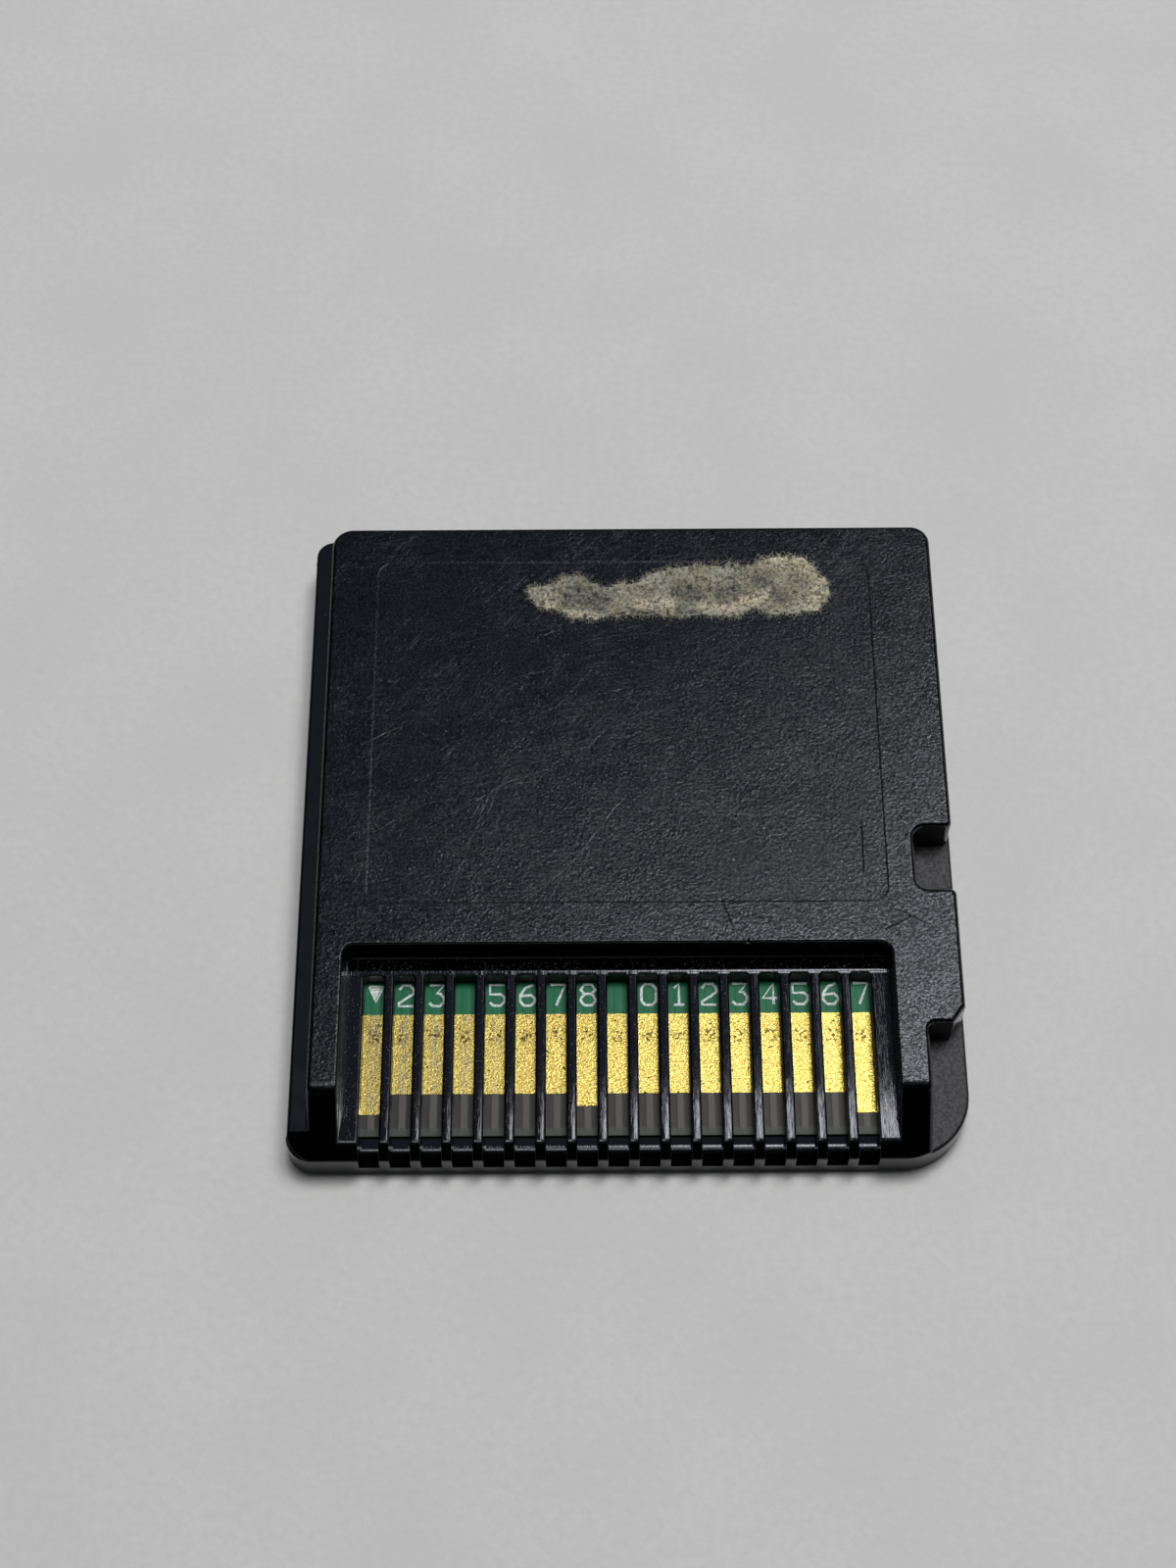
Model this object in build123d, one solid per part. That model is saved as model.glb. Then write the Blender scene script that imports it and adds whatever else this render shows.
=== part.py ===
from build123d import *
import os

# Game card for a handheld console, of the kind with an infrared port behind its dark plastic.
# Two moulded shells, welded together, hold a circuit board whose contacts show in a recess.
# Frame: origin under the middle of the label face, +Z out of the back face, -Y to the contact end.
# All sizes are in millimetres.

# Contact row, across the card
contact_count = 17
contact_pitch = 1.5
slot_width = 1.0
side_ledge = 0.95           # ledge strip between the end slots and the recess walls

# Widths beside the contact recess, from left to right
step_width = 1.05           # guide step along the left side
left_cheek = 1.5
right_cheek = 1.56
key_depth = 1.84            # corner cut-out that keys the card
right_setback = 0.15        # the back shell stands in from the front shell on this side
left_setback = 0.12         # and so does the guide step on its side

# Lengths along the card, from the contact end
lip_depth = 1.44            # front wall that closes the slots
bare_length = 2.16          # bare laminate before the pads
pad_length = 4.2
mask_length = 1.75          # solder mask that shows behind the pads
ledge_depth = 0.95
body_length = 24.5          # from the recess to the far end

# Heights, from the label face up
floor_thickness = 0.65
board_thickness = 0.6
seam_rise = 0.4             # parting plane above the board
comb_height = 0.9           # ribs and ledge above the board
recess_depth = 1.65         # back face above the ledge
step_rise = 0.9             # guide step above the parting plane
roof_thickness = 0.8

# Outline corners of the card
corner_far_left = 0.9
corner_far_right = 1.0
corner_near_left = 1.3
corner_near_right = 3.4
back_corner_far_left = 1.1
edge_round = 0.25
step_edge_round = 0.15
flange_round = 0.2          # upper edge of the front shell where it stands clear of the back shell
rim_round = 0.12            # edge of the contact recess
rib_chamfer = 0.08          # softened edges of the ribs and of the ledge round the slots

# Bevel across the contact end
bevel_run = 2.95
bevel_break_round = 0.9
comb_end_round = 0.8        # where the ribs and the ledge run into the bevel

# Cut-outs in the right side
latch_from_end = 13.4       # from the contact end to the latch notch
latch_length = 3.45
latch_depth = 1.94
latch_inner_round = 0.6
latch_outer_round = 0.3
key_length = 6.16           # from the contact end to the key's shoulder
key_inner_round = 0.3
key_chamfer_width = 0.65
key_chamfer_length = 0.9

# Contact recess
recess_corner_round = 0.6
slot_corner_cut = 0.12      # chamfered inner corners of the slots
ramp_drop = 0.38            # fall of the lip from its top to the front wall
ramp_crest_from_end = 0.72
ramp_crest_round = 0.9
lip_below_board = 0.05
lip_dip = 0.08              # fall of the lip from its crest back towards the board

# Panel of the back face that a mould insert leaves very slightly sunk
insert_from_far_end = 2.2
insert_from_left = 3.58
insert_width = 25.9
insert_length = 20.1
insert_corner_round = 0.8
insert_depth = 0.03

# Nick in the recess's far edge
nick_from_recess_left = 19.75
nick_width = 0.3
nick_length = 0.2
nick_depth = 0.25

# Label recess on the underside, left bare
label_margin_side = 1.9
label_margin_far = 2.0
label_length = 25.0
label_depth = 0.12
label_corner_round = 1.2

# Circuit board
board_margin = 1.2          # board beyond the end slots
board_clearance = 0.1
comb_clearance = 0.02
pad_overlap = 0.05          # how far a pad runs under the rib on each side
pad_thickness = 0.04
end_pad_extra = 1.06        # the first and last pads are longer
ground_pad_number = 8
ground_pad_extra = 0.64

# Walls and weld pegs
wall = 1.1
partition = 0.8
peg_radius = 0.7
peg_clearance = 0.05
peg_inset = 1.75            # from the board's edges to the pegs
boss_width = 3.0
peg_tip_gap = 0.1

# Parts on the board: width, length, height
memory_size = (12.4, 7.6, 1.0)
save_size = (4.9, 3.9, 0.9)
infrared_chip_size = (6.0, 6.0, 0.9)
oscillator_size = (3.2, 2.5, 0.7)
transceiver_size = (6.8, 2.4, 1.3)
capacitor_size = (1.6, 0.8, 0.8)
resistor_size = (1.0, 0.5, 0.35)
part_gap = 1.2              # between neighbours on the board
chip_top_chamfer = 0.12
dimple_radius = 0.35
dimple_depth = 0.1
can_round = 0.3
part_chamfer = 0.08
lens_radius = 0.6
lens_reach = 0.8
lens_spacing = 3.2
capacitor_count = 4
resistor_count = 4

# Paper left from a sticker
residue_thickness = 0.1
residue_from_left = 11.45   # to its left tip
residue_from_far_end = 4.3  # to its left tip
residue_edge = [            # torn outline: from the left tip along the near edge, back along the far edge
    (0.0, 0.0),
    (0.4, -0.65),
    (1.5, -0.95),
    (2.2, -1.4),
    (3.6, -1.55),
    (5.1, -1.25),
    (8.3, -1.4),
    (10.0, -1.25),
    (10.8, -1.4),
    (11.6, -1.2),
    (11.9, -0.85),
    (12.5, -1.15),
    (13.2, -1.35),
    (15.3, -1.05),
    (15.8, -0.4),
    (16.0, 0.3),
    (15.7, 1.1),
    (14.9, 2.1),
    (14.1, 2.5),
    (13.0, 2.4),
    (11.9, 1.9),
    (8.4, 1.8),
    (6.9, 1.5),
    (5.9, 0.85),
    (4.0, 0.55),
    (2.8, 1.3),
    (1.9, 1.3),
    (1.3, 0.8),
    (0.2, 0.6),
]

# Heights that follow
board_top = floor_thickness + board_thickness
seam = board_top + seam_rise
ledge_top = board_top + comb_height
card_thickness = ledge_top + recess_depth
step_top = seam + step_rise
ceiling = card_thickness - roof_thickness
insert_floor = card_thickness - insert_depth
comb_bottom = board_top + pad_thickness + comb_clearance
lip_top = board_top - lip_below_board
ramp_foot = lip_top - ramp_drop

# Places across the card that follow
row_width = (contact_count - 1) * contact_pitch + slot_width
recess_width = row_width + 2 * side_ledge
card_width = step_width + left_cheek + recess_width + right_cheek + key_depth + right_setback
left_side = -card_width / 2
right_side = card_width / 2
step_wall = left_side + step_width
recess_left = step_wall + left_cheek
recess_right = recess_left + recess_width
row_middle = (recess_left + recess_right) / 2
back_right = right_side - right_setback
key_wall = back_right - key_depth
latch_wall = back_right - latch_depth
board_left = row_middle - row_width / 2 - board_margin
board_right = row_middle + row_width / 2 + board_margin

# Places along the card that follow
slot_length = lip_depth + bare_length + pad_length + mask_length
recess_length = slot_length + ledge_depth
card_length = recess_length + body_length
contact_end = -card_length / 2
far_end = card_length / 2
slot_start = contact_end + slot_length
recess_edge = contact_end + recess_length
board_near = contact_end + lip_depth
board_far = far_end - wall - board_clearance
pad_far = board_near + bare_length + pad_length
key_shoulder = contact_end + key_length
latch_near = contact_end + latch_from_end
latch_far = latch_near + latch_length
cavity_near = recess_edge + partition

beyond = 1.0                # how far a cutting shape runs past the material
aligned = 0.99              # share of an edge's direction along an axis, past which it lies along it


def block(low, high):
    """Box from its lowest to its highest corner."""
    size = [b - a for a, b in zip(low, high)]
    return Pos(*low) * Box(*size, align=(Align.MIN, Align.MIN, Align.MIN))


def outline(points, rounds):
    """Closed outline whose corners are rounded: rounds holds pairs of corner and radius."""
    face = Sketch() + make_face(Polyline(*points, close=True))
    for corner, radius in rounds:
        vertex = face.vertices().sort_by_distance((*corner, 0))[0]
        face = fillet(vertex, radius)
    return face


def rectangle_points(left, right, near, far):
    return [(left, near), (right, near), (right, far), (left, far)]


def rounded_rectangle(left, right, near, far, radius):
    points = rectangle_points(left, right, near, far)
    return outline(points, [(point, radius) for point in points])


def prism(face, low, high):
    return extrude(Pos(0, 0, low) * face, amount=high - low)


def across(face, left, right):
    """Solid of a side profile, drawn as (along, up), that runs across the card."""
    return extrude(Plane.YZ.offset(left) * face, amount=right - left)


def spread(count, pitch):
    """Places of an evenly spaced row about its middle."""
    return [(number - (count - 1) / 2) * pitch for number in range(count)]


def slot_middles():
    return [row_middle + offset for offset in spread(contact_count, contact_pitch)]


def card_outline():
    corners = rectangle_points(left_side, right_side, contact_end, far_end)
    radii = (corner_near_left, corner_near_right, corner_far_right, corner_far_left)
    return outline(corners, list(zip(corners, radii)))


def peg_places():
    """Four weld pegs, one near each corner of the covered part of the board."""
    places = []
    for x in (board_left + peg_inset, board_right - peg_inset):
        for y in (cavity_near + peg_inset, board_far - peg_inset):
            places.append((x, y))
    return places


def ramp_profile():
    """Side view of the space above the lip, which rises to a rounded crest and falls to the front wall."""
    crest = (contact_end + ramp_crest_from_end, lip_top)
    points = [
        (board_near, lip_top - lip_dip),
        crest,
        (contact_end, ramp_foot),
        (contact_end - beyond, ramp_foot),
        (contact_end - beyond, seam + beyond),
        (board_near, seam + beyond),
    ]
    return outline(points, [(crest, ramp_crest_round)])


def flange_cut():
    """Rounds the front shell's upper edge beside the back shell, from the keyed corner on and along the step."""
    plain = prism(card_outline(), 0, seam)
    rounded = fillet(plain.edges().group_by(Axis.Z)[-1], flange_round)
    right_low = (key_wall, contact_end - beyond, 0)
    right_high = (right_side + beyond, far_end - corner_far_right, seam + beyond)
    left_low = (left_side - beyond, contact_end + corner_near_left, 0)
    left_high = (left_side + left_setback, far_end - corner_far_left, seam + beyond)
    ring = plain - rounded
    return (ring & block(right_low, right_high)) + (ring & block(left_low, left_high))


def make_front_shell():
    """Label side: a shallow tray with the board's pocket, weld pegs and the grooved lip."""
    shell = prism(card_outline(), 0, seam)
    bottom_edges = shell.edges().group_by(Axis.Z)[0]
    shell = fillet(bottom_edges, edge_round)
    shell -= flange_cut()

    pocket_left = board_left - board_clearance
    pocket_right = board_right + board_clearance
    pocket_far = board_far + board_clearance
    shell -= block((pocket_left, board_near, floor_thickness), (pocket_right, pocket_far, seam + beyond))

    ramp = ramp_profile()
    for middle in slot_middles():
        shell -= across(ramp, middle - slot_width / 2, middle + slot_width / 2)

    label = rounded_rectangle(
        left_side + label_margin_side,
        right_side - label_margin_side,
        far_end - label_margin_far - label_length,
        far_end - label_margin_far,
        label_corner_round,
    )
    shell -= prism(label, -beyond, label_depth)

    for place in peg_places():
        peg = Circle(peg_radius)
        shell += prism(Pos(*place) * peg, floor_thickness, ceiling - peg_tip_gap)
    return shell


def side_profile():
    """Side view of the back shell: flat back, then the bevel down to the parting plane."""
    bevel_break = (contact_end + bevel_run, card_thickness)
    points = [
        (contact_end, seam),
        (far_end + beyond, seam),
        (far_end + beyond, card_thickness),
        bevel_break,
    ]
    return outline(points, [(bevel_break, bevel_break_round)])


def is_upper_rim(edge):
    """True for an edge that runs round the top of the back, down the bevel to its foot."""
    middle = edge @ 0.5
    upright = abs((edge % 0.5).Z) > aligned
    on_bevel = middle.Y < contact_end + bevel_run + bevel_break_round
    across_card = abs((edge % 0.5).X) > aligned and on_bevel
    return middle.Z > seam + edge_round and not upright and not across_card


def raised_back():
    """The full-height part of the back shell, right of the guide step, with its side cut-outs."""
    key_points = [
        (key_wall, contact_end - beyond),
        (back_right + beyond, contact_end - beyond),
        (back_right + beyond, key_shoulder + key_chamfer_length),
        (back_right, key_shoulder + key_chamfer_length),
        (back_right - key_chamfer_width, key_shoulder),
        (key_wall, key_shoulder),
    ]
    key = outline(key_points, [((key_wall, key_shoulder), key_inner_round)])
    latch_corners = rectangle_points(latch_wall, back_right + beyond, latch_near, latch_far)
    latch_rounds = [(corner, latch_inner_round) for corner in (latch_corners[0], latch_corners[3])]
    latch = outline(latch_corners, latch_rounds)
    corners = rectangle_points(step_wall, back_right, contact_end, far_end)
    plan = outline(corners, [(corners[2], corner_far_right), (corners[3], back_corner_far_left)])
    plan = plan - latch - key
    for along in (latch_near, latch_far):
        vertex = plan.vertices().sort_by_distance((back_right, along, 0))[0]
        plan = fillet(vertex, latch_outer_round)
    body = prism(plan, seam, card_thickness) & across(side_profile(), step_wall, back_right)
    body = fillet([e for e in body.edges() if is_upper_rim(e)], edge_round)
    return body & prism(card_outline(), seam, card_thickness)


def make_guide_step():
    """Low step along the left side, which runs in the console's guide."""
    inner = recess_left
    corners = rectangle_points(left_side + left_setback, inner, contact_end, far_end)
    plan = outline(corners, [(corners[0], corner_near_left), (corners[3], corner_far_left)])
    step = prism(plan, seam, step_top)
    top_left = [e for e in step.edges().group_by(Axis.Z)[-1] if (e @ 0.5).X < step_wall]
    step = fillet(top_left, step_edge_round)
    return step & across(side_profile(), left_side, inner)


def comb_end_profile():
    """Side view of the space above the comb, whose floor is rounded down into the bevel."""
    slope = (card_thickness - seam) / bevel_run
    comb_break = (contact_end + (ledge_top - seam) / slope, ledge_top)
    points = [
        (comb_break[0] + beyond, ledge_top),
        comb_break,
        (contact_end, seam),
        (contact_end, card_thickness),
        (comb_break[0] + beyond, card_thickness),
    ]
    return outline(points, [(comb_break, comb_end_round)])


def recess_cut():
    """Space of the contact recess, above the ledge and the ribs."""
    corners = rectangle_points(recess_left, recess_right, contact_end - beyond, recess_edge)
    plan = outline(corners, [(corner, recess_corner_round) for corner in corners[2:]])
    return prism(plan, ledge_top, card_thickness + beyond) + across(comb_end_profile(), recess_left, recess_right)


def is_recess_rim(edge):
    """True for an edge that runs round the recess, along its far edge and down both cheeks."""
    middle = edge @ 0.5
    upright = abs((edge % 0.5).Z) > aligned
    along_far = abs(middle.Y - recess_edge) < recess_corner_round
    on_wall = min(abs(middle.X - recess_left), abs(middle.X - recess_right)) < recess_corner_round / 2
    inside = recess_left - beyond < middle.X < recess_right + beyond and middle.Y < recess_edge + beyond
    across_cheek = abs((edge % 0.5).X) > aligned and middle.Y < recess_edge - recess_corner_round
    above = middle.Z > ledge_top + rim_round
    return above and inside and (along_far or on_wall) and not upright and not across_cheek


def slot_cut(middle):
    """Space over one contact, flared at its rim so that the ribs have softened edges."""
    left = middle - slot_width / 2
    right = middle + slot_width / 2
    points = [
        (left, contact_end - beyond),
        (right, contact_end - beyond),
        (right, slot_start - slot_corner_cut),
        (right - slot_corner_cut, slot_start),
        (left + slot_corner_cut, slot_start),
        (left, slot_start - slot_corner_cut),
    ]
    plan = outline(points, [])
    flare_foot = ledge_top - rib_chamfer
    flare = extrude(Pos(0, 0, flare_foot) * plan, amount=2 * rib_chamfer, taper=-45)
    return prism(plan, seam - beyond, flare_foot) + flare


def insert_cut():
    left = left_side + insert_from_left
    far = far_end - insert_from_far_end
    panel = rounded_rectangle(left, left + insert_width, far - insert_length, far, insert_corner_round)
    return prism(panel, insert_floor, card_thickness + beyond)


def nick_cut():
    """Small wedge knocked out of the recess's far edge."""
    left = recess_left + nick_from_recess_left
    points = [
        (left, recess_edge - beyond),
        (left + nick_width, recess_edge - beyond),
        (left + nick_width, recess_edge),
        (left + nick_width / 2, recess_edge + nick_length),
        (left, recess_edge),
    ]
    return prism(outline(points, []), card_thickness - nick_depth, card_thickness + beyond)


def comb_underside():
    """Solid under the recess: it carries the ribs and reaches down into the pocket, over the board."""
    return block(
        (board_left, board_near, comb_bottom),
        (board_right, cavity_near, ledge_top),
    )


def cavity_cut():
    """Room for the parts on the board, walled off from the recess and the latch notch."""
    room = block((board_left, cavity_near, seam - beyond), (back_right - wall, far_end - wall, ceiling))
    latch_low = (latch_wall - wall, latch_near - wall, seam - beyond)
    latch_high = (back_right, latch_far + wall, ceiling)
    return room - block(latch_low, latch_high)


def make_back_shell():
    """Contact side: roof, guide step, bevel, contact recess and the comb that parts the contacts."""
    body = raised_back() + make_guide_step()
    body += comb_underside()
    body -= recess_cut()
    body = fillet([e for e in body.edges() if is_recess_rim(e)], rim_round)
    for middle in slot_middles():
        body -= slot_cut(middle)
    body -= cavity_cut()
    body -= insert_cut()
    body -= nick_cut()
    for place in peg_places():
        boss = Pos(*place) * Rectangle(boss_width, boss_width)
        hole = Pos(*place) * Circle(peg_radius + peg_clearance)
        body += prism(boss, comb_bottom, ceiling)
        body -= prism(hole, comb_bottom - beyond, ceiling)
    return body


def make_circuit_board():
    board = block((board_left, board_near, floor_thickness), (board_right, board_far, board_top))
    for place in peg_places():
        hole = Pos(*place) * Circle(peg_radius + peg_clearance)
        board -= prism(hole, floor_thickness - beyond, board_top + beyond)
    return board


def pad_extra(number):
    if number in (1, contact_count):
        return end_pad_extra
    if number == ground_pad_number:
        return ground_pad_extra
    return 0.0


def make_contact_pad(number, middle):
    half = slot_width / 2 + pad_overlap
    near = pad_far - pad_length - pad_extra(number)
    return block((middle - half, near, board_top), (middle + half, pad_far, board_top + pad_thickness))


def on_board(size, centre):
    """Plain body of a board part, standing on the board at a place."""
    return Pos(*centre, board_top) * Box(*size, align=(Align.CENTER, Align.CENTER, Align.MIN))


def make_chip(size, centre):
    """Moulded chip: chamfered top and a dimple that marks its first corner."""
    chip = on_board(size, centre)
    chip = chamfer(chip.faces().sort_by(Axis.Z)[-1].edges(), chip_top_chamfer)
    mark = (centre[0] - size[0] / 2 + 3 * dimple_radius, centre[1] + size[1] / 2 - 3 * dimple_radius)
    top = board_top + size[2]
    return chip - prism(Pos(*mark) * Circle(dimple_radius), top - dimple_depth, top + beyond)


def make_oscillator(centre):
    """Metal can with rounded corners."""
    can = on_board(oscillator_size, centre)
    return fillet(can.edges().filter_by(Axis.Z), can_round)


def make_transceiver(centre):
    """Infrared module: a block with a sender's and a receiver's lens towards the far end."""
    body = on_board(transceiver_size, centre)
    face = centre[1] + transceiver_size[1] / 2
    height = board_top + transceiver_size[2] / 2
    for offset in spread(2, lens_spacing):
        seat = Plane(origin=(centre[0] + offset, face, height), z_dir=(0, 1, 0))
        body += extrude(seat * Circle(lens_radius), amount=lens_reach)
    return body


def make_passive(size, centre):
    """Small surface-mounted part with softened edges."""
    body = on_board(size, centre)
    return chamfer(body.edges().filter_by(Axis.Z), part_chamfer)


def make_sticker_residue():
    """Torn strip of paper that a sticker left on the back, across the sunk panel's far edge."""
    place = Pos(left_side + residue_from_left, far_end - residue_from_far_end)
    patch = place * outline(residue_edge, [])
    in_panel = prism(patch, insert_floor, card_thickness) & insert_cut()
    return prism(patch, card_thickness, card_thickness + residue_thickness) + in_panel


def place_board_parts():
    """Chips in the middle of the covered board, infrared parts at the far end, small parts beside."""
    small_y = cavity_near + peg_inset
    memory_near = small_y + resistor_size[1] / 2 + part_gap
    memory_centre = (row_middle, memory_near + memory_size[1] / 2)
    row = memory_near + memory_size[1] + part_gap
    chip_x = row_middle - memory_size[0] / 2 + infrared_chip_size[0] / 2
    infrared_centre = (chip_x, row + infrared_chip_size[1] / 2)
    save_x = chip_x + infrared_chip_size[0] / 2 + part_gap + save_size[0] / 2
    save_centre = (save_x, row + save_size[1] / 2)
    transceiver_y = board_far - lens_reach - transceiver_size[1] / 2
    oscillator_y = memory_centre[1]
    oscillator_x = row_middle - memory_size[0] / 2 - part_gap - oscillator_size[0] / 2
    parts = {
        "memory_chip": make_chip(memory_size, memory_centre),
        "infrared_chip": make_chip(infrared_chip_size, infrared_centre),
        "save_chip": make_chip(save_size, save_centre),
        "oscillator": make_oscillator((oscillator_x, oscillator_y)),
        "infrared_transceiver": make_transceiver((save_x, transceiver_y)),
    }
    small_x = row_middle + memory_size[0] / 2 + part_gap + capacitor_size[0] / 2
    for number, offset in enumerate(spread(capacitor_count, capacitor_size[1] + part_gap), start=1):
        parts[f"capacitor_{number}"] = make_passive(capacitor_size, (small_x, memory_centre[1] + offset))
    for number, offset in enumerate(spread(resistor_count, resistor_size[0] + part_gap), start=1):
        parts[f"resistor_{number}"] = make_passive(resistor_size, (row_middle + offset, small_y))
    return parts


def build():
    nodes = {
        "front_shell": make_front_shell(),
        "back_shell": make_back_shell(),
        "circuit_board": make_circuit_board(),
        "sticker_residue": make_sticker_residue(),
    }
    for number, middle in enumerate(slot_middles(), start=1):
        nodes[f"contact_pad_{number:02d}"] = make_contact_pad(number, middle)
    nodes.update(place_board_parts())
    return nodes


os.makedirs("parts", exist_ok=True)
for name, solid in build().items():
    export_step(solid, f"parts/{name}.step")
    print(name, round(solid.volume, 3))
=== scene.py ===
# %% [markdown]
# A worn game card lies label face down, so its contact side is up. The card is nearly black, so what the
# eye reads is gloss: a satin back, a polished comb of ribs, bright gold in the slots and torn paper near
# the far end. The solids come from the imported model. This script adds the finishes and the fine things
# that lie on the surfaces, and never moves or changes a solid.

# %% Load the frame
import math
import random

import bmesh
import bpy
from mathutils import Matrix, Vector, noise
from mathutils.bvhtree import BVHTree


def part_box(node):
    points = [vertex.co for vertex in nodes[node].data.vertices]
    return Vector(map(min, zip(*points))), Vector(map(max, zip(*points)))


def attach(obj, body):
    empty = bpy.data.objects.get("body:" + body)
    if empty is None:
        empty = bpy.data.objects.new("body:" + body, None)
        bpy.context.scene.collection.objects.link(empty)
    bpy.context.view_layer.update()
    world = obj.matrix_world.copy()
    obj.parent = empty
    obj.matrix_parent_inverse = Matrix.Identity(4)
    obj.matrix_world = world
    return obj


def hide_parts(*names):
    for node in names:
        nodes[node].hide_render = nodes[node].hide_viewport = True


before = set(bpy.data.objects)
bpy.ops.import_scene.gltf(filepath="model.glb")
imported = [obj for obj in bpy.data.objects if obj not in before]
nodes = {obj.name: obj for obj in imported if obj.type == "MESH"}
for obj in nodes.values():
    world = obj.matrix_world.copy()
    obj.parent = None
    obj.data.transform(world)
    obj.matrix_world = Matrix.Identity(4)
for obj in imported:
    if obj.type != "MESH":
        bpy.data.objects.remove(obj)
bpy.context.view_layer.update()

MM = 0.001

# %% [markdown]
# The camera stands where the photo was taken from: above the contact end, looking down at about 61
# degrees, from some 14 cm away. A camera that near has strong perspective, so its place and its lens were
# fitted to the card's straight edges and not only to the direction of view.

# %% Camera
CAMERA_PLACE = (-1.674 * MM, -62.625 * MM, 121.597 * MM)
CAMERA_TURN = (28.697, 0.236, -0.241)
LENS = 60.92
SENSOR_WIDTH = 36
NEAREST_SEEN = 1 * MM


def add_object(name, data):
    piece = bpy.data.objects.new(name, data)
    bpy.context.scene.collection.objects.link(piece)
    return piece


camera = add_object("camera", bpy.data.cameras.new("camera"))
camera.data.lens = LENS
camera.data.sensor_width = SENSOR_WIDTH
camera.data.clip_start = NEAREST_SEEN
camera.location = CAMERA_PLACE
camera.rotation_euler = [math.radians(angle) for angle in CAMERA_TURN]
bpy.context.scene.camera = camera
print("camera is", round(Vector(CAMERA_PLACE).length / MM), "mm from the card")

# %% [markdown]
# A material is a graph of nodes. Building many of them by hand repeats the same few moves: add a node,
# feed a value or a link into a socket, take noise at a scale, blend two colours. Graph holds the moves
# that every node tree shares, and Finish adds those of a material. A finish takes its place from the
# Object coordinate, in millimetres, so every scale below is a real size.

# %% Helpers for nodes and materials
# Most values of a noise lie in this span.
NOISE_SPAN = (0.3, 0.7)


class Graph:
    """A node tree that is built step by step."""

    def __init__(self, tree):
        self.tree = tree
        tree.nodes.clear()

    def feed(self, socket, value):
        if isinstance(value, bpy.types.NodeSocket):
            self.tree.links.new(value, socket)
        elif value is not None:
            socket.default_value = value

    def node(self, kind, *values, **settings):
        """Adds a node and feeds its sockets in order, each with a value or a link. None skips one."""
        node = self.tree.nodes.new(kind)
        for key, value in settings.items():
            setattr(node, key, value)
        for socket, value in zip([s for s in node.inputs if s.enabled], values):
            self.feed(socket, value)
        return node

    def add(self, kind, *values, output=0, **settings):
        """Adds a node and gives one of its outputs."""
        node = self.node(kind, *values, **settings)
        return [s for s in node.outputs if s.enabled][output]

    def math(self, operation, *values):
        return self.add("ShaderNodeMath", *values, operation=operation)

    def vector(self, operation, *values):
        return self.add("ShaderNodeVectorMath", *values, operation=operation)


class Finish(Graph):
    """One procedural material that ends in a Principled shader."""

    def __init__(self, name):
        self.material = bpy.data.materials.new(name)
        self.material.use_nodes = True
        super().__init__(self.material.node_tree)
        self.shader = self.node("ShaderNodeBsdfPrincipled")
        self.node("ShaderNodeOutputMaterial", self.shader.outputs["BSDF"])
        metres = self.node("ShaderNodeTexCoord").outputs["Object"]
        self.place = self.vector("MULTIPLY", metres, (1 / MM, 1 / MM, 1 / MM))

    def set(self, **values):
        """Feeds the shader's sockets: base_color=..., roughness=... and so on."""
        names = {socket.name.lower().replace(" ", "_"): socket for socket in self.shader.inputs}
        for key, value in values.items():
            self.feed(names[key], value)

    def split(self, vector):
        return self.node("ShaderNodeSeparateXYZ", vector).outputs

    def turned(self, degrees, stretch):
        """The place, turned about the card's upright axis and then stretched."""
        turn = (0, 0, math.radians(degrees))
        return self.add("ShaderNodeMapping", self.place, None, turn, stretch, vector_type="TEXTURE")

    def noise(self, per_mm, detail, place=None, output=0):
        """Noise as a number, or as a colour where output is 1."""
        return self.add("ShaderNodeTexNoise", place or self.place, per_mm, detail, output=output)

    def ramp(self, value, start, end, low=0.0, high=1.0):
        """Goes smoothly from low to high as value goes from start to end."""
        span = (value, start, end, low, high)
        return self.add("ShaderNodeMapRange", *span, interpolation_type="SMOOTHSTEP")

    def band(self, value, start, end, soft):
        """1 between start and end, 0 outside, with soft borders."""
        rise = self.ramp(value, start - soft, start)
        fall = self.ramp(value, end, end + soft, 1.0, 0.0)
        return self.math("MULTIPLY", rise, fall)

    def fold(self, operation, values):
        total = values[0]
        for value in values[1:]:
            total = self.math(operation, total, value)
        return total

    def times(self, *values):
        return self.fold("MULTIPLY", values)

    def most(self, *values):
        return self.fold("MAXIMUM", values)

    def mix(self, share, first, second):
        """Number that goes from first to second as share goes from 0 to 1."""
        return self.add("ShaderNodeMix", share, first, second, data_type="FLOAT")

    def blend(self, share, first, second):
        """Colour that goes from first to second as share goes from 0 to 1."""
        return self.add("ShaderNodeMix", share, first, second, data_type="RGBA")

    def bump(self, height, depth_mm, normal=None):
        node = self.node("ShaderNodeBump")
        self.feed(node.inputs["Distance"], depth_mm * MM)
        self.feed(node.inputs["Height"], height)
        self.feed(node.inputs["Normal"], normal)
        return node.outputs[0]


def coat(material, *names):
    """Puts one material on every named solid."""
    for name in names:
        nodes[name].data.materials.clear()
        nodes[name].data.materials.append(material)


print("helpers ready")

# %% [markdown]
# The table is plain pale paper. Its colour is what the photo shows, so with light at a plain level it
# renders as it is written. A little cloudiness keeps it from looking like a flat fill.

# %% Floor
FLOOR_SIZE = 3.0
FLOOR_GAP = 0.01 * MM
CLOUDS_PER_MM = 0.12
TOOTH_PER_MM = 2.2
TOOTH_DEPTH = 0.02
TABLE_SPAN = (0.12, 0.42)
TABLE_DARK = (0.545, 0.54, 0.53, 1)
TABLE_LIGHT = (0.585, 0.58, 0.57, 1)


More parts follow.
